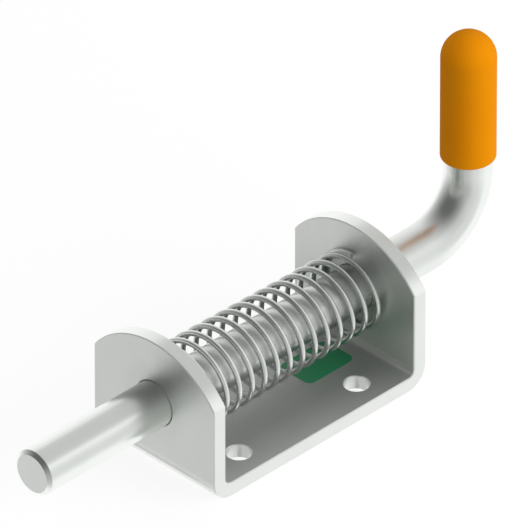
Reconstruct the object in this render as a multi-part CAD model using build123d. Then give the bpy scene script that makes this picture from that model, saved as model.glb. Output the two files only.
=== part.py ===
from build123d import *
import math
import os

# Spring bolt latch with a bent handle. All sizes are in millimetres.
# The origin is the middle of the bracket's underside. +X runs along the bolt
# towards the handle, +Y to the side and +Z up from the mounting surface.

# Bolt: a round bar, straight through both ears and bent up into the handle
bolt_diameter = 15.0
bolt_axis_height = 25.0
nose_reach = 51.2
nose_chamfer = 1.2
handle_distance = 43.7
handle_bend_radius = 20.0
handle_rise = 60.5
handle_end_chamfer = 0.6

# Bracket: a steel strip bent up at both ends into two domed ears
bracket_length = 90.0
bracket_width = 51.0
strip_thickness = 5.0
bend_inner_radius = 2.5
ear_top_above_bolt = 22.0
ear_shoulder_above_bolt = 9.0
bolt_clearance = 0.1
edge_break = 0.3

# Screw holes in the base, at the corners of a rectangle
screw_hole_diameter = 8.0
screw_spacing_x = 50.0
screw_spacing_y = 32.0

# Grip: a dome-ended plastic sleeve of even wall, pushed over the handle's end
grip_length = 44.4
grip_wall = 1.1
grip_mouth_round = 0.4

# Slotted spring pin across the bolt, which stops it on the nose-side ear
pin_diameter = 3.5
pin_wall = 0.7
pin_slot = 0.6
pin_overhang = 5.5
pin_lead_chamfer = 0.4

# Compression spring, narrower at the handle's end, with both ends closed flat
wire_diameter = 1.8
wire_sides = 6
spring_diameter_nose = 29.3
spring_diameter_handle = 26.5
active_turns = 13.425
closed_turns_nose = 0.65
closed_turns_handle = 0.51
last_tip_angle = 90.0
points_per_turn = 30

# Washer that carries the spring's nose end
washer_thickness = 1.2
washer_rim = 0.35
washer_clearance = 0.2
washer_chamfer = 0.2

# Gap along the bolt between pieces that only press on each other
seat_gap = 0.1

# Places worked out from the sizes above
bolt_radius = bolt_diameter / 2
wire_radius = wire_diameter / 2
pin_radius = pin_diameter / 2
half_width = bracket_width / 2
ear_outer_x = bracket_length / 2
ear_inner_x = ear_outer_x - strip_thickness
nose_x = -ear_outer_x - nose_reach
handle_x = ear_outer_x + handle_distance
handle_end_z = bolt_axis_height + handle_rise
pin_x = -ear_inner_x + seat_gap + pin_radius
washer_x = pin_x + pin_radius + seat_gap
first_coil_x = washer_x + washer_thickness + seat_gap + wire_radius
last_coil_x = ear_inner_x - seat_gap - wire_radius


def make_bracket():
    ear_top = bolt_axis_height + ear_top_above_bolt
    shoulder = bolt_axis_height + ear_shoulder_above_bolt
    low_middle = (Align.CENTER, Align.MIN)
    with BuildPart() as bracket:
        # The bent strip, seen from the side
        with BuildSketch(Plane.XZ) as strip:
            Rectangle(bracket_length, ear_top, align=low_middle)
            fillet(strip.vertices().group_by(Axis.Y)[0], bend_inner_radius + strip_thickness)
            with BuildSketch(Plane.XZ, mode=Mode.SUBTRACT) as channel:
                with Locations((0, strip_thickness)):
                    Rectangle(2 * ear_inner_x, ear_top, align=low_middle)
                fillet(channel.vertices().group_by(Axis.Y)[0], bend_inner_radius)
        extrude(amount=half_width, both=True)

        # Its domed outline, seen from the end
        with BuildSketch(Plane.YZ):
            with BuildLine():
                Polyline((half_width, shoulder), (half_width, 0), (-half_width, 0), (-half_width, shoulder))
                ThreePointArc((-half_width, shoulder), (0, ear_top), (half_width, shoulder))
            make_face()
        extrude(amount=bracket_length, both=True, mode=Mode.INTERSECT)

        # Broken edges all round, but for the four corners under the domes
        outline = bracket.edges().filter_by(Axis.Y, reverse=True)
        corners = outline.filter_by(Axis.X).filter_by_position(Axis.Z, shoulder, shoulder)
        chamfer(outline - corners, edge_break)

        # One bore through both ears, and the screw holes in the base
        with BuildSketch(Plane.YZ):
            with Locations((0, bolt_axis_height)):
                Circle(bolt_radius + bolt_clearance)
        extrude(amount=bracket_length, both=True, mode=Mode.SUBTRACT)
        with GridLocations(screw_spacing_x, screw_spacing_y, 2, 2):
            Cylinder(screw_hole_diameter / 2, 3 * strip_thickness, mode=Mode.SUBTRACT)
        rims = bracket.edges().filter_by(lambda edge: edge.is_closed)
        chamfer(rims, edge_break)
    return bracket.part


def make_bolt():
    bend_start_x = handle_x - handle_bend_radius
    bend_end_z = bolt_axis_height + handle_bend_radius
    bend_axis = Axis((bend_start_x, 0, bend_end_z), (0, -1, 0))
    with BuildPart() as bolt:
        with BuildSketch(Plane.YZ.offset(nose_x)):
            with Locations((0, bolt_axis_height)):
                Circle(bolt_radius)
        extrude(amount=bend_start_x - nose_x)
        with BuildSketch(Plane.YZ.offset(bend_start_x)):
            with Locations((0, bolt_axis_height)):
                Circle(bolt_radius)
        revolve(axis=bend_axis, revolution_arc=90)
        with BuildSketch(Plane.XY.offset(bend_end_z)):
            with Locations((handle_x, 0)):
                Circle(bolt_radius)
        extrude(amount=handle_end_z - bend_end_z)
        chamfer(bolt.edges().sort_by(Axis.X)[0], nose_chamfer)
        chamfer(bolt.edges().sort_by(Axis.Z)[-1], handle_end_chamfer)

        # Cross hole for the spring pin
        with Locations(Location((pin_x, 0, bolt_axis_height), (90, 0, 0))):
            Cylinder(pin_radius, 2 * bolt_diameter, mode=Mode.SUBTRACT)
    return bolt.part


def make_grip():
    grip_radius = bolt_radius + grip_wall
    top_z = handle_end_z + grip_radius
    mouth_z = top_z - grip_length
    shoulder_point = (grip_radius, handle_end_z)
    dome_point = (grip_radius * math.sin(math.pi / 4), handle_end_z + grip_radius * math.cos(math.pi / 4))
    with BuildPart() as grip:
        with BuildSketch(Plane.XZ) as wall:
            with BuildLine():
                Polyline((0, handle_end_z), (bolt_radius, handle_end_z), (bolt_radius, mouth_z))
                Polyline((bolt_radius, mouth_z), (grip_radius, mouth_z), shoulder_point)
                ThreePointArc(shoulder_point, dome_point, (0, top_z))
                Line((0, top_z), (0, handle_end_z))
            make_face()
            mouth = wall.vertices().group_by(Axis.Y)[0].sort_by(Axis.X)[-1]
            fillet(mouth, grip_mouth_round)
        revolve(axis=Axis.Z)
    return Pos(handle_x, 0, 0) * grip.part


def make_roll_pin():
    pin_length = bolt_diameter + 2 * pin_overhang
    with BuildPart() as pin:
        Cylinder(pin_radius, pin_length)
        chamfer(pin.edges().filter_by(GeomType.CIRCLE), pin_lead_chamfer)
        Cylinder(pin_radius - pin_wall, pin_length, mode=Mode.SUBTRACT)
        Box(pin_slot, pin_diameter, pin_length, align=(Align.CENTER, Align.MIN, Align.CENTER), mode=Mode.SUBTRACT)
    return Location((pin_x, 0, bolt_axis_height), (90, 0, 0)) * pin.part


def make_thrust_washer():
    outer_radius = spring_diameter_nose / 2 + washer_rim
    inner_radius = bolt_radius + washer_clearance
    with BuildPart() as washer:
        with BuildSketch(Plane.YZ.offset(washer_x)):
            with Locations((0, bolt_axis_height)):
                Circle(outer_radius)
                Circle(inner_radius, mode=Mode.SUBTRACT)
        extrude(amount=washer_thickness)
        chamfer(washer.edges().filter_by(GeomType.CIRCLE), washer_chamfer)
    return washer.part


def coil_point(turn, last_angle_turns):
    rise = min(max(turn - closed_turns_nose, 0), active_turns) / active_turns
    diameter = spring_diameter_nose + (spring_diameter_handle - spring_diameter_nose) * rise
    radius = diameter / 2 - wire_radius
    angle = math.radians(last_tip_angle) + 2 * math.pi * (turn - last_angle_turns)
    x = first_coil_x + (last_coil_x - first_coil_x) * rise
    return Vector(x, radius * math.cos(angle), bolt_axis_height + radius * math.sin(angle))


def make_spring():
    turns = closed_turns_nose + active_turns + closed_turns_handle
    steps = round(turns * points_per_turn)
    points = [coil_point(turns * step / steps, turns) for step in range(steps + 1)]
    outwards = points[0] - Vector(points[0].X, 0, bolt_axis_height)

    # A flat of the wire faces each way along the bolt, and its area is the round wire's
    corner_radius = wire_radius * math.sqrt(2 * math.pi / wire_sides / math.sin(2 * math.pi / wire_sides))
    start = Plane(origin=points[0], x_dir=outwards, z_dir=points[1] - points[0])
    wire_outline = (start * RegularPolygon(corner_radius, wire_sides)).faces()[0].outer_wire()
    return Solid.sweep(wire_outline, path=Wire.make_polygon(points, close=False), transition=Transition.RIGHT)


pieces = {
    "bracket": make_bracket(),
    "bolt": make_bolt(),
    "grip": make_grip(),
    "roll_pin": make_roll_pin(),
    "thrust_washer": make_thrust_washer(),
    "spring": make_spring(),
}

os.makedirs("parts", exist_ok=True)
for name, piece in pieces.items():
    export_step(piece, f"parts/{name}.step")
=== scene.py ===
import math

import bpy
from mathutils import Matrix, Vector


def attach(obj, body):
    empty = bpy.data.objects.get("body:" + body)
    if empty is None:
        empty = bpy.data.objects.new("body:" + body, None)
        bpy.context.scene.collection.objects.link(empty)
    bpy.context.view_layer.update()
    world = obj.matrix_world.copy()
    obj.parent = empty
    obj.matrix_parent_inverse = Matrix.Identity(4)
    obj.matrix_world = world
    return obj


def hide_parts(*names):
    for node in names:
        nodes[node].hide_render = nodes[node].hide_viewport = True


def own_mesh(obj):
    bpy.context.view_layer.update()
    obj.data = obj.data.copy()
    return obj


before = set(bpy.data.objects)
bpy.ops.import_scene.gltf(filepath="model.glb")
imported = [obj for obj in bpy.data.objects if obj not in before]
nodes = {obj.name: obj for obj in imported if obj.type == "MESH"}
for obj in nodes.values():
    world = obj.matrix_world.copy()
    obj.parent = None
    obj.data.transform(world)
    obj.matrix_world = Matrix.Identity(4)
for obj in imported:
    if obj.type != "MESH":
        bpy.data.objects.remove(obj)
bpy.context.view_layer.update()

mm = 0.001
boltAxisHeight = 25.0 * mm
print("frame loaded:", len(nodes), "CAD nodes")


# small helpers

def linearColour(hexText):
    # sRGB hex, as a colour picker shows it, to the linear values that shaders use
    channels = [int(hexText[i:i + 2], 16) / 255 for i in (1, 3, 5)]
    linear = [c / 12.92 if c <= 0.04045 else ((c + 0.055) / 1.055) ** 2.4 for c in channels]
    return (*linear, 1.0)


def tonePair(darkHex, lightHex):
    # two colours, as a Mix node takes them
    return {"A_Color": linearColour(darkHex), "B_Color": linearColour(lightHex)}


def findSocket(sockets, name):
    # by number, by name, or by identifier where a node repeats its names
    if isinstance(name, int) or name in sockets:
        return sockets[name]
    return next(socket for socket in sockets if socket.identifier == name)


def addNode(tree, kind, settings=None, links=None, **options):
    # one node with its options, its input values, and what is plugged into it:
    # an output, or a node, which gives its first output in use
    node = tree.nodes.new(kind)
    for name, value in options.items():
        setattr(node, name, value)
    for name, value in (settings or {}).items():
        findSocket(node.inputs, name).default_value = value
    for name, source in (links or {}).items():
        if isinstance(source, bpy.types.Node):
            source = next(output for output in source.outputs if output.enabled)
        tree.links.new(source, findSocket(node.inputs, name))
    return node


def emptyTree(owner):
    # the node tree of a new material or world, cleared of what it starts with
    owner.use_nodes = True
    owner.node_tree.nodes.clear()
    return owner.node_tree


def boltDistance(tree, coords):
    # how far a point is from the bolt's axis, which runs along X
    across = addNode(tree, "ShaderNodeMapping", {"Location": (0, 0, -boltAxisHeight), "Scale": (0, 1, 1)},
                     {"Vector": coords})
    return addNode(tree, "ShaderNodeVectorMath", links={0: across}, operation="LENGTH")


def dress(piece, material):
    # this material and no other
    piece.data.materials.clear()
    piece.data.materials.append(material)


# camera: straight on to the corner view, from far away with a long lens

cornerView = {
    "direction": Vector((1, 1, -1)).normalized(),
    "target": (18.62 * mm, 17.06 * mm, 35.68 * mm),
    "frameWidth": 158.9 * mm,
    "sensor": 36.0,
    "lens": 1600.0,
    "farClip": 50.0,
}
bpy.ops.object.camera_add()
camera = bpy.context.object
camera.name = "cornerCamera"
camera.data.sensor_width = cornerView["sensor"]
camera.data.lens = cornerView["lens"]
camera.data.clip_end = cornerView["farClip"]
cameraDistance = cornerView["frameWidth"] * cornerView["lens"] / cornerView["sensor"]
camera.location = Vector(cornerView["target"]) - cornerView["direction"] * cameraDistance
camera.rotation_mode = "QUATERNION"
camera.rotation_quaternion = cornerView["direction"].to_track_quat("-Z", "Y")
bpy.context.scene.camera = camera
print("camera in place at", round(cameraDistance, 3), "m")


# spring: round wire on the same coils as the CAD spring

coil = {
    "firstX": -34.1 * mm,
    "lastX": 39.0 * mm,
    "travel": 45.0 * mm,  # what bolt_slide takes off its length
    "diameterNose": 29.3 * mm,
    "diameterHandle": 26.5 * mm,
    "wire": 1.8 * mm,
    "activeTurns": 13.425,
    "closedNose": 0.65,
    "closedHandle": 0.51,
    "lastTipAngle": 90.0,
    "pointsPerTurn": 40,
    "wireSides": 14,
    "tones": tonePair("#EBEEEB", "#F9FCF9"),
    "mottle": {"Scale": 1 / (1.43 * mm), "Detail": 3.0},  # drawn coarse: the real 0.2 mm would not show
    "relief": {"Distance": 0.004 * mm, "Strength": 0.3},
    "roughness": {"To Min": 0.2, "To Max": 0.28},
    "innerShadeTone": 0.62,
}


def coilRadius(diameter):
    return (diameter - coil["wire"]) / 2


def coilPoint(turn, turns):
    rise = min(max(turn - coil["closedNose"], 0), coil["activeTurns"]) / coil["activeTurns"]
    radius = coilRadius(coil["diameterNose"] + (coil["diameterHandle"] - coil["diameterNose"]) * rise)
    angle = math.radians(coil["lastTipAngle"]) + 2 * math.pi * (turn - turns)
    x = coil["firstX"] + (coil["lastX"] - coil["firstX"]) * rise
    return (x, radius * math.cos(angle), boltAxisHeight + radius * math.sin(angle))


def makeWireTube(material):
    # live tube round a line of edges, so that the wire stays round when the line shortens
    group = bpy.data.node_groups.new("wireTube", "GeometryNodeTree")
    for side in ("INPUT", "OUTPUT"):
        group.interface.new_socket("Geometry", in_out=side, socket_type="NodeSocketGeometry")
    edges = addNode(group, "NodeGroupInput")
    curve = addNode(group, "GeometryNodeMeshToCurve", links={"Mesh": edges})
    section = addNode(group, "GeometryNodeCurvePrimitiveCircle",
                      {"Resolution": coil["wireSides"], "Radius": coil["wire"] / 2})
    tube = addNode(group, "GeometryNodeCurveToMesh", {"Fill Caps": True}, {"Curve": curve, "Profile Curve": section})
    smooth = addNode(group, "GeometryNodeSetShadeSmooth", links={"Geometry": tube})
    painted = addNode(group, "GeometryNodeSetMaterial", {"Material": material}, {"Geometry": smooth})
    addNode(group, "NodeGroupOutput", links={0: painted})
    return group


# drawn spring wire, zinc plated: bright, with a fine mottle in the plating,
# and painted shade that darkens the inside of the coils
springWire = bpy.data.materials.new("drawn_spring_wire")
tree = emptyTree(springWire)
coords = addNode(tree, "ShaderNodeTexCoord").outputs["Object"]
place = addNode(tree, "ShaderNodeSeparateXYZ", links={"Vector": coords})
mottle = addNode(tree, "ShaderNodeTexNoise", coil["mottle"], {"Vector": coords})
tone = addNode(tree, "ShaderNodeMix", coil["tones"], {"Factor_Float": mottle}, data_type="RGBA")
midRadius = addNode(tree, "ShaderNodeMapRange",
                    {"From Min": coil["firstX"], "From Max": coil["lastX"],
                     "To Min": coilRadius(coil["diameterNose"]), "To Max": coilRadius(coil["diameterHandle"])},
                    {"Value": place.outputs["X"]})
outwards = addNode(tree, "ShaderNodeMath", links={0: boltDistance(tree, coords), 1: midRadius}, operation="SUBTRACT")
# painted shade: darker on the wire's side towards the bolt
innerShade = addNode(tree, "ShaderNodeMapRange",
                {"From Min": -coil["wire"] / 2, "From Max": coil["wire"] / 4,
                 "To Min": coil["innerShadeTone"], "To Max": 1.0},
                {"Value": outwards}, interpolation_type="SMOOTHSTEP")
shadedTone = addNode(tree, "ShaderNodeVectorMath", links={0: tone, "Scale": innerShade}, operation="SCALE")
sheen = addNode(tree, "ShaderNodeMapRange", coil["roughness"], {"Value": mottle})
relief = addNode(tree, "ShaderNodeBump", coil["relief"], {"Height": mottle})
shader = addNode(tree, "ShaderNodeBsdfPrincipled", {"Metallic": 1.0},
                 {"Base Color": shadedTone, "Roughness": sheen, "Normal": relief})
addNode(tree, "ShaderNodeOutputMaterial", links={"Surface": shader})

turns = coil["closedNose"] + coil["activeTurns"] + coil["closedHandle"]
runs = round(turns * coil["pointsPerTurn"])
coilLine = bpy.data.meshes.new("coil_spring")
coilLine.from_pydata([coilPoint(turns * i / runs, turns) for i in range(runs + 1)],
                     [(i, i + 1) for i in range(runs)], [])
spring = bpy.data.objects.new("coil_spring", coilLine)
bpy.context.scene.collection.objects.link(spring)
dress(spring, springWire)
tubeModifier = spring.modifiers.new("wireTube", "NODES")
tubeModifier.node_group = makeWireTube(springWire)
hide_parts("spring")
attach(spring, "bracket")
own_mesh(spring)
print("spring wound:", round(turns, 2), "turns")


# bracket: rolled strip, bent and then zinc plated

strip = {
    "tones": tonePair("#F0F3EF", "#F9FCF8"),
    "cloud": {"Scale": 1 / (16.7 * mm), "Detail": 4.0},
    "grain": {"Scale": 1 / (0.9 * mm), "Detail": 4.0},  # drawn coarse: the real 0.1 mm would not show
    "grainStretch": {"Scale": (0.1, 1.0, 0.1)},
    "relief": {"Distance": 0.01 * mm, "Strength": 0.2},
    "roughness": {"To Min": 0.36, "To Max": 0.48},
    "sideFrom": 25.18 * mm,  # from here out: the sides and their broken edges
    "underFrom": 4.9 * mm,  # from here down: all that is below the base's top face
    "insideReach": 40.1 * mm,
    "earBack": 44.9 * mm,
    "domeFrom": 30.0 * mm,
    "boreShade": {"From Min": 7.0 * mm, "From Max": 17.0 * mm, "To Min": 0.95, "To Max": 1.0},
    "earBackShade": {"To Min": 1.0, "To Max": 0.62},
    "baseShadeAcross": {"From Min": 13.0 * mm, "From Max": 25.0 * mm, "To Min": 0.7, "To Max": 0.87},
    "baseShadeUp": {"From Min": 5.3 * mm, "From Max": 7.5 * mm, "To Max": 1.0},
    "dust": {"From Min": 5.0 * mm, "From Max": 36.0 * mm, "To Min": 0.2, "To Max": 0.0},
    "edgeLean": (0.707, 0.08),  # X of a broken edge's normal, and how far off it may be
    "edgeMetallic": {"To Min": 1.0, "To Max": 0.45},
    "rimLean": 0.2,
    "rimRoughness": 0.2,
}

# satin zinc over mill-rolled steel: grain along the strip and a slow cloudiness
zincStrip = bpy.data.materials.new("zinc_plated_strip")
tree = emptyTree(zincStrip)
coords = addNode(tree, "ShaderNodeTexCoord").outputs["Object"]
place = addNode(tree, "ShaderNodeSeparateXYZ", links={"Vector": coords})
sideways = addNode(tree, "ShaderNodeMath", links={0: place.outputs["Y"]}, operation="ABSOLUTE")
lengthways = addNode(tree, "ShaderNodeMath", links={0: place.outputs["X"]}, operation="ABSOLUTE")
grainCoords = addNode(tree, "ShaderNodeMapping", strip["grainStretch"], {"Vector": coords})
rolled = addNode(tree, "ShaderNodeTexNoise", strip["grain"], {"Vector": grainCoords})
cloud = addNode(tree, "ShaderNodeTexNoise", strip["cloud"], {"Vector": coords})
tone = addNode(tree, "ShaderNodeMix", strip["tones"], {"Factor_Float": cloud}, data_type="RGBA")
relief = addNode(tree, "ShaderNodeBump", strip["relief"], {"Height": rolled})

# painted shade: a faint darkening round the bores, where the bolt shades the ears, and a darker back on the handle's
# ear, standing in for a shaded reflection
boreShade = addNode(tree, "ShaderNodeMapRange", strip["boreShade"], {"Value": boltDistance(tree, coords)},
                 interpolation_type="SMOOTHERSTEP")
behind = addNode(tree, "ShaderNodeMath", {1: strip["earBack"]}, {0: place.outputs["X"]}, operation="GREATER_THAN")
earBackShade = addNode(tree, "ShaderNodeMapRange", strip["earBackShade"], {"Value": behind})
boreAndBackShade = addNode(tree, "ShaderNodeMath", links={0: boreShade, 1: earBackShade}, operation="MULTIPLY")

# painted shade on the base under the spring, lighter towards its sides and gone a little way up the bends
underSpring = addNode(tree, "ShaderNodeMapRange", strip["baseShadeAcross"], {"Value": sideways})
aboveBase = addNode(tree, "ShaderNodeMapRange", strip["baseShadeUp"],
                    {"Value": place.outputs["Z"], "To Min": underSpring}, interpolation_type="SMOOTHSTEP")
isSide = addNode(tree, "ShaderNodeMath", {1: strip["sideFrom"]}, {0: sideways}, operation="GREATER_THAN")
isUnder = addNode(tree, "ShaderNodeMath", {1: strip["underFrom"]}, {0: place.outputs["Z"]}, operation="LESS_THAN")
isSideOrUnder = addNode(tree, "ShaderNodeMath", links={0: isSide, 1: isUnder}, operation="MAXIMUM")
baseShade = addNode(tree, "ShaderNodeMath", links={0: aboveBase, 1: isSideOrUnder}, operation="MAXIMUM")
# painted shade: the strip's colour darkened round the bores, on the handle ear's back and under the spring
stripShade = addNode(tree, "ShaderNodeMath", links={0: boreAndBackShade, 1: baseShade}, operation="MULTIPLY")
shadedStripTone = addNode(tree, "ShaderNodeVectorMath", links={0: tone, "Scale": stripShade}, operation="SCALE")

# broken edges are chalky, where the plating has rubbed
facing = addNode(tree, "ShaderNodeSeparateXYZ",
                 links={"Vector": addNode(tree, "ShaderNodeNewGeometry").outputs["True Normal"]})
leaning = addNode(tree, "ShaderNodeMath", links={0: facing.outputs["X"]}, operation="ABSOLUTE")
onEdge = addNode(tree, "ShaderNodeMath", {1: strip["edgeLean"][0], 2: strip["edgeLean"][1]}, {0: leaning},
                 operation="COMPARE")
edgeMetallic = addNode(tree, "ShaderNodeMapRange", strip["edgeMetallic"], {"Value": onEdge})

# the domes' sheared rims are smoother than the rolled faces
sheared = addNode(tree, "ShaderNodeMath", {1: strip["rimLean"]}, {0: leaning}, operation="LESS_THAN")
upwards = addNode(tree, "ShaderNodeMath", {1: strip["rimLean"]}, {0: facing.outputs["Z"]}, operation="GREATER_THAN")
above = addNode(tree, "ShaderNodeMath", {1: strip["domeFrom"]}, {0: place.outputs["Z"]}, operation="GREATER_THAN")
domed = addNode(tree, "ShaderNodeMath", links={0: above, 1: upwards}, operation="MULTIPLY")
onRim = addNode(tree, "ShaderNodeMath", links={0: sheared, 1: domed}, operation="MULTIPLY")

# dust dulls the inside of the channel, most of all near the base
between = addNode(tree, "ShaderNodeMath", {1: strip["insideReach"]}, {0: lengthways}, operation="LESS_THAN")
inside = addNode(tree, "ShaderNodeMath", links={0: between, 1: isSideOrUnder}, operation="SUBTRACT", use_clamp=True)
dust = addNode(tree, "ShaderNodeMapRange", strip["dust"], {"Value": place.outputs["Z"]},
               interpolation_type="SMOOTHSTEP")
dusty = addNode(tree, "ShaderNodeMath", links={0: dust, 1: inside}, operation="MULTIPLY")
satin = addNode(tree, "ShaderNodeMapRange", strip["roughness"], {"Value": rolled})
grained = addNode(tree, "ShaderNodeMath", links={0: satin, 1: dusty}, operation="ADD")
roughness = addNode(tree, "ShaderNodeMix", {"B_Float": strip["rimRoughness"]},
                    {"Factor_Float": onRim, "A_Float": grained}, data_type="FLOAT")

shader = addNode(tree, "ShaderNodeBsdfPrincipled",
                 links={"Base Color": shadedStripTone, "Metallic": edgeMetallic, "Roughness": roughness, "Normal": relief})
addNode(tree, "ShaderNodeOutputMaterial", links={"Surface": shader})
dress(nodes["bracket"], zincStrip)
dress(nodes["thrust_washer"], zincStrip)
print("bracket and washer plated")


# bolt: bright drawn bar, bent and zinc plated

bar = {
    "bendCentreX": 68.7 * mm,
    "bendCentreZ": 45.0 * mm,
    "tones": tonePair("#F0F4F0", "#FAFDFA"),
    "cloud": {"Scale": 1 / (12.5 * mm), "Detail": 4.0},
    "drawLines": {"Scale": 1 / (0.7 * mm), "Detail": 2.0},  # drawn coarse: the real 0.1 mm would not show
    "lineWander": 0.03,
    "relief": {"Distance": 0.003 * mm, "Strength": 0.15},
    "roughness": {"To Min": 0.22, "To Max": 0.28},
    "oilAndShadeReach": {"From Min": 30.0 * mm, "From Max": 46.0 * mm},
    "springShadeTone": {"To Min": 0.9, "To Max": 1.0},
    "oilRoughness": {"To Min": 0.06, "To Max": 0.0},
    "handled": {"From Min": 38.0 * mm, "From Max": 52.0 * mm, "To Min": 0.0, "To Max": 0.16},
    "polished": {"From Min": 67.0 * mm, "From Max": 80.0 * mm, "To Min": 0.0, "To Max": -0.19},
}

# bright drawn bar: soft reflections, fine lines along its length that follow the bend, a rougher oil film where it
# slides, painted shade darkening it inside the spring and the bores, and a bend that hands have worn smooth
barSteel = bpy.data.materials.new("bright_drawn_bar")
tree = emptyTree(barSteel)
coords = addNode(tree, "ShaderNodeTexCoord").outputs["Object"]
place = addNode(tree, "ShaderNodeSeparateXYZ", links={"Vector": coords})
alongX = addNode(tree, "ShaderNodeMath", {1: bar["bendCentreX"]}, {0: place.outputs["X"]}, operation="SUBTRACT")
pastX = addNode(tree, "ShaderNodeMath", {1: 0.0}, {0: alongX}, operation="MAXIMUM")
alongZ = addNode(tree, "ShaderNodeMath", {1: bar["bendCentreZ"]}, {0: place.outputs["Z"]}, operation="SUBTRACT")
belowZ = addNode(tree, "ShaderNodeMath", {1: 0.0}, {0: alongZ}, operation="MINIMUM")
corner = addNode(tree, "ShaderNodeCombineXYZ", links={"X": pastX, "Z": belowZ})
bendDistance = addNode(tree, "ShaderNodeVectorMath", links={0: corner}, operation="LENGTH")
wander = addNode(tree, "ShaderNodeMath", {1: bar["lineWander"]}, {0: place.outputs["X"]}, operation="MULTIPLY")
barCoords = addNode(tree, "ShaderNodeCombineXYZ", links={"X": wander, "Y": place.outputs["Y"], "Z": bendDistance})
drawn = addNode(tree, "ShaderNodeTexNoise", bar["drawLines"], {"Vector": barCoords})
cloud = addNode(tree, "ShaderNodeTexNoise", bar["cloud"], {"Vector": coords})
tone = addNode(tree, "ShaderNodeMix", bar["tones"], {"Factor_Float": cloud}, data_type="RGBA")
lengthways = addNode(tree, "ShaderNodeMath", links={0: place.outputs["X"]}, operation="ABSOLUTE")
# painted shade: the bar darker inside the spring and the ears' bores
springShadeTone = addNode(tree, "ShaderNodeMapRange", bar["oilAndShadeReach"] | bar["springShadeTone"], {"Value": lengthways},
                  interpolation_type="SMOOTHSTEP")
shadedTone = addNode(tree, "ShaderNodeVectorMath", links={0: tone, "Scale": springShadeTone}, operation="SCALE")
roughness = addNode(tree, "ShaderNodeMapRange", bar["roughness"], {"Value": drawn})
for change, across in ((bar["oilAndShadeReach"] | bar["oilRoughness"], lengthways),
                       (bar["handled"], place.outputs["X"]),
                       (bar["polished"], place.outputs["X"])):
    layer = addNode(tree, "ShaderNodeMapRange", change, {"Value": across}, interpolation_type="SMOOTHSTEP")
    roughness = addNode(tree, "ShaderNodeMath", links={0: roughness, 1: layer}, operation="ADD")
relief = addNode(tree, "ShaderNodeBump", bar["relief"], {"Height": drawn})
shader = addNode(tree, "ShaderNodeBsdfPrincipled", {"Metallic": 1.0},
                 {"Base Color": shadedTone, "Roughness": roughness, "Normal": relief})
addNode(tree, "ShaderNodeOutputMaterial", links={"Surface": shader})
dress(nodes["bolt"], barSteel)
print("bolt polished")


# spring pin, behind the near ear

pin = {
    "tones": tonePair("#85888A", "#A4A6A8"),
    "blotches": {"Scale": 1 / (2.0 * mm), "Detail": 3.0},
    "roughness": {"To Min": 0.3, "To Max": 0.45},
}

# plain hardened strip, rolled into a tube: dark, a little blotched from the quench
pinSteel = bpy.data.materials.new("plain_spring_steel")
tree = emptyTree(pinSteel)
coords = addNode(tree, "ShaderNodeTexCoord").outputs["Object"]
blotches = addNode(tree, "ShaderNodeTexNoise", pin["blotches"], {"Vector": coords})
tone = addNode(tree, "ShaderNodeMix", pin["tones"], {"Factor_Float": blotches}, data_type="RGBA")
sheen = addNode(tree, "ShaderNodeMapRange", pin["roughness"], {"Value": blotches})
shader = addNode(tree, "ShaderNodeBsdfPrincipled", {"Metallic": 1.0}, {"Base Color": tone, "Roughness": sheen})
addNode(tree, "ShaderNodeOutputMaterial", links={"Surface": shader})
dress(nodes["roll_pin"], pinSteel)
print("spring pin darkened")


# grip: dipped soft vinyl

grip = {
    "tones": tonePair("#FA9705", "#FF9F08"),
    "cloud": {"Scale": 1 / (14.3 * mm), "Detail": 3.0},
    "peel": {"Scale": 1 / (1.11 * mm), "Detail": 2.0},
    "relief": {"Distance": 0.01 * mm, "Strength": 0.25},
    "roughness": {"To Min": 0.62, "To Max": 0.75},
    "specularLevel": 0.05,
}

# plastisol dip: matte and strongly coloured, with a faint orange-peel skin
gripVinyl = bpy.data.materials.new("dipped_vinyl")
tree = emptyTree(gripVinyl)
coords = addNode(tree, "ShaderNodeTexCoord").outputs["Object"]
peel = addNode(tree, "ShaderNodeTexNoise", grip["peel"], {"Vector": coords})
cloud = addNode(tree, "ShaderNodeTexNoise", grip["cloud"], {"Vector": coords})
tone = addNode(tree, "ShaderNodeMix", grip["tones"], {"Factor_Float": cloud}, data_type="RGBA")
matte = addNode(tree, "ShaderNodeMapRange", grip["roughness"], {"Value": peel})
relief = addNode(tree, "ShaderNodeBump", grip["relief"], {"Height": peel})
shader = addNode(tree, "ShaderNodeBsdfPrincipled", {"Specular IOR Level": grip["specularLevel"]},
                 {"Base Color": tone, "Roughness": matte, "Normal": relief})
addNode(tree, "ShaderNodeOutputMaterial", links={"Surface": shader})
dress(nodes["grip"], gripVinyl)
print("grip dipped")


# green patch printed on the base

patch = {
    "centre": (24.2 * mm, 0.2 * mm),
    "size": (19.6 * mm, 13.6 * mm),
    "cornerRadius": 2.5 * mm,
    "cornerSegments": 8,
    "baseTop": 5.0 * mm,
    "thickness": 0.06 * mm,
    "tones": tonePair("#1E8355", "#288E60"),
    "mottle": {"Scale": 1 / (1.11 * mm), "Detail": 3.0},  # drawn coarse: the real 0.3 mm would not show
    "roughness": 0.45,
}

# pad-printed ink: an even half-gloss film, a little uneven in its green where it went on thin
printInk = bpy.data.materials.new("pad_printed_ink")
tree = emptyTree(printInk)
coords = addNode(tree, "ShaderNodeTexCoord").outputs["Object"]
mottle = addNode(tree, "ShaderNodeTexNoise", patch["mottle"], {"Vector": coords})
tone = addNode(tree, "ShaderNodeMix", patch["tones"], {"Factor_Float": mottle}, data_type="RGBA")
shader = addNode(tree, "ShaderNodeBsdfPrincipled", {"Roughness": patch["roughness"]}, {"Base Color": tone})
addNode(tree, "ShaderNodeOutputMaterial", links={"Surface": shader})

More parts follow.
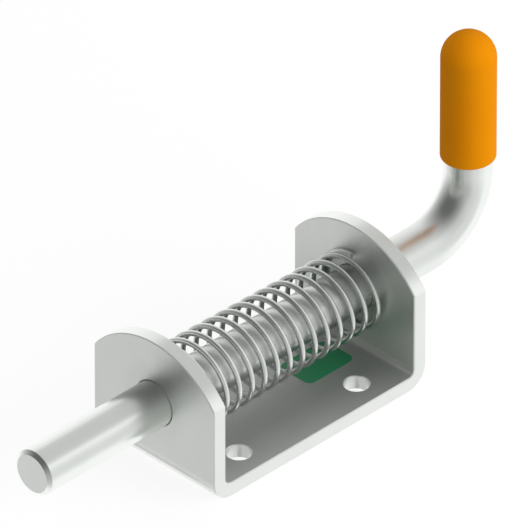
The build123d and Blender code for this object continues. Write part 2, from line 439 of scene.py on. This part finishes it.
bpy.ops.object.select_all(action="DESELECT")
bpy.ops.mesh.primitive_plane_add(size=1.0, location=(0, 0, 0))
label = bpy.context.object
label.name = "green_patch"
label.scale = (*patch["size"], 1.0)
label.location = (*patch["centre"], patch["baseTop"])
bpy.ops.object.transform_apply(location=True, rotation=True, scale=True)
bpy.ops.object.mode_set(mode="EDIT")
bpy.ops.mesh.select_all(action="SELECT")
bpy.ops.mesh.bevel(offset=patch["cornerRadius"], segments=patch["cornerSegments"], affect="VERTICES")
bpy.ops.mesh.select_all(action="SELECT")
bpy.ops.mesh.extrude_region_move(TRANSFORM_OT_translate={"value": (0, 0, patch["thickness"])})
bpy.ops.mesh.select_all(action="SELECT")
bpy.ops.mesh.normals_make_consistent(inside=False)
bpy.ops.object.mode_set(mode="OBJECT")
dress(label, printInk)
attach(label, "bracket")
print("patch laid on the base")


# floor, world and light

studio = {
    "floorRadius": 3.0,
    "floorSides": 96,
    "floorDrop": 0.15 * mm,  # just below the bracket's underside
    "floorTones": tonePair("#BCBCBC", "#898989"),  # as it lights the latch, and as the camera sees it
    "floorLift": 0.84,  # its own glow in the camera's view, up to white
    "skyTone": "#FFFFFF",
    "shadeFrom": (-0.78, 0.1, 0.61),
    "shadeSteps": ((-0.25, 1.0), (0.155, 0.64), (0.465, 0.42), (0.92, 0.13)),
    "patches": (  # towards, the cosines where it starts and is full, tone
        ((0.3, -0.95, -0.1), (0.78, 0.97), 0.72),
        ((-0.383, -0.721, -0.577), (0.8, 0.98), 0.74),
        ((0.98, 0.0, -0.2), (0.93, 0.985), 0.6),
    ),
    "overhead": {"From Min": 0.42, "From Max": 0.7, "To Min": 1.0, "To Max": 0.58},
    "secondLook": {"From Min": 1.0, "From Max": 2.0, "To Min": 1.0, "To Max": 0.8},
    "diffuseSky": {"To Min": 0.32, "To Max": 0.58},
    "lampPower": 10.6,
    "lampSize": 1.2,
    "lampDistance": 1.2,
    "lampFrom": Vector((0.4, -0.86, 0.24)).normalized(),
}

bpy.ops.object.select_all(action="DESELECT")
bpy.ops.mesh.primitive_circle_add(vertices=studio["floorSides"], radius=studio["floorRadius"], fill_type="NGON",
                                  location=(0, 0, -studio["floorDrop"]))
floor = bpy.context.object
floor.name = "studio_floor"
bpy.ops.object.transform_apply(location=True)

# white paint that glossy rays pass, so that metal shows the even studio round it
floorPaint = bpy.data.materials.new("white_floor")
tree = emptyTree(floorPaint)
rays = addNode(tree, "ShaderNodeLightPath")
paintTone = addNode(tree, "ShaderNodeMix", studio["floorTones"], {"Factor_Float": rays.outputs["Is Camera Ray"]},
                    data_type="RGBA")
matt = addNode(tree, "ShaderNodeBsdfDiffuse", links={"Color": paintTone})
seen = addNode(tree, "ShaderNodeMath", {1: studio["floorLift"]}, {0: rays.outputs["Is Camera Ray"]},
               operation="MULTIPLY")
glow = addNode(tree, "ShaderNodeEmission", links={"Strength": seen})
lit = addNode(tree, "ShaderNodeAddShader", links={0: matt, 1: glow})
clear = addNode(tree, "ShaderNodeBsdfTransparent")
floorShader = addNode(tree, "ShaderNodeMixShader", links={"Fac": rays.outputs["Is Glossy Ray"], 1: lit, 2: clear})
addNode(tree, "ShaderNodeOutputMaterial", links={"Surface": floorShader})
dress(floor, floorPaint)

# an even white studio for the metal to show, shaded on the nose side, overhead and in three soft patches
world = bpy.data.worlds.new("studioWorld")
bpy.context.scene.world = world
tree = emptyTree(world)
direction = addNode(tree, "ShaderNodeTexCoord").outputs["Generated"]
height = addNode(tree, "ShaderNodeSeparateXYZ", links={"Vector": direction}).outputs["Z"]
noseward = addNode(tree, "ShaderNodeVectorMath", {1: studio["shadeFrom"]}, {0: direction}, operation="DOT_PRODUCT")
halfTurn = addNode(tree, "ShaderNodeMapRange", {"From Min": -1.0, "From Max": 1.0}, {"Value": noseward})
shaded = addNode(tree, "ShaderNodeValToRGB", links={"Fac": halfTurn})
stops = shaded.color_ramp.elements
while len(stops) < len(studio["shadeSteps"]):
    stops.new(1.0)
for stop, (cosine, shade) in zip(stops, studio["shadeSteps"]):
    stop.position = (cosine + 1) / 2
    stop.color = (shade, shade, shade, 1.0)
for towards, (start, full), patchTone in studio["patches"]:
    nearness = addNode(tree, "ShaderNodeVectorMath", {1: towards}, {0: direction}, operation="DOT_PRODUCT")
    patchShade = addNode(tree, "ShaderNodeMapRange",
                         {"From Min": start, "From Max": full, "To Min": 1.0, "To Max": patchTone},
                         {"Value": nearness}, interpolation_type="SMOOTHSTEP")
    shaded = addNode(tree, "ShaderNodeMath", links={0: shaded, 1: patchShade}, operation="MULTIPLY")
overhead = addNode(tree, "ShaderNodeMapRange", studio["overhead"], {"Value": height}, interpolation_type="SMOOTHSTEP")
openSky = addNode(tree, "ShaderNodeMath", links={0: shaded, 1: overhead}, operation="MINIMUM")

# what metal shows of other metal is a little darker again
rays = addNode(tree, "ShaderNodeLightPath")
secondLook = addNode(tree, "ShaderNodeMapRange", studio["secondLook"], {"Value": rays.outputs["Glossy Depth"]})
sky = addNode(tree, "ShaderNodeMath", links={0: openSky, 1: secondLook}, operation="MULTIPLY")

# matt surfaces get a plain sky, paler towards the top, and the camera sees plain white
softSky = addNode(tree, "ShaderNodeMapRange", studio["diffuseSky"], {"Value": height})
level = addNode(tree, "ShaderNodeMix",
                links={"Factor_Float": rays.outputs["Is Diffuse Ray"], "A_Float": sky, "B_Float": softSky},
                data_type="FLOAT")
shown = addNode(tree, "ShaderNodeMath",
                links={0: rays.outputs["Is Camera Ray"], 1: rays.outputs["Is Transmission Ray"]}, operation="MAXIMUM")
strength = addNode(tree, "ShaderNodeMath", links={0: level, 1: shown}, operation="MAXIMUM")
background = addNode(tree, "ShaderNodeBackground", {"Color": linearColour(studio["skyTone"])},
                     {"Strength": strength})
addNode(tree, "ShaderNodeOutputWorld", links={"Surface": background})

# one big soft lamp from the right, for the floor's shadow and the grip; metal doesn't show it
bpy.ops.object.light_add(type="AREA")
lamp = bpy.context.object
lamp.name = "softLamp"
lamp.data.energy = studio["lampPower"]
lamp.data.shape = "DISK"
lamp.data.size = studio["lampSize"]
lamp.location = studio["lampFrom"] * studio["lampDistance"]
lamp.rotation_mode = "QUATERNION"
lamp.rotation_quaternion = (-studio["lampFrom"]).to_track_quat("-Z", "Y")
lamp.visible_glossy = False

bpy.context.scene.view_settings.view_transform = "Standard"
print("studio lit")
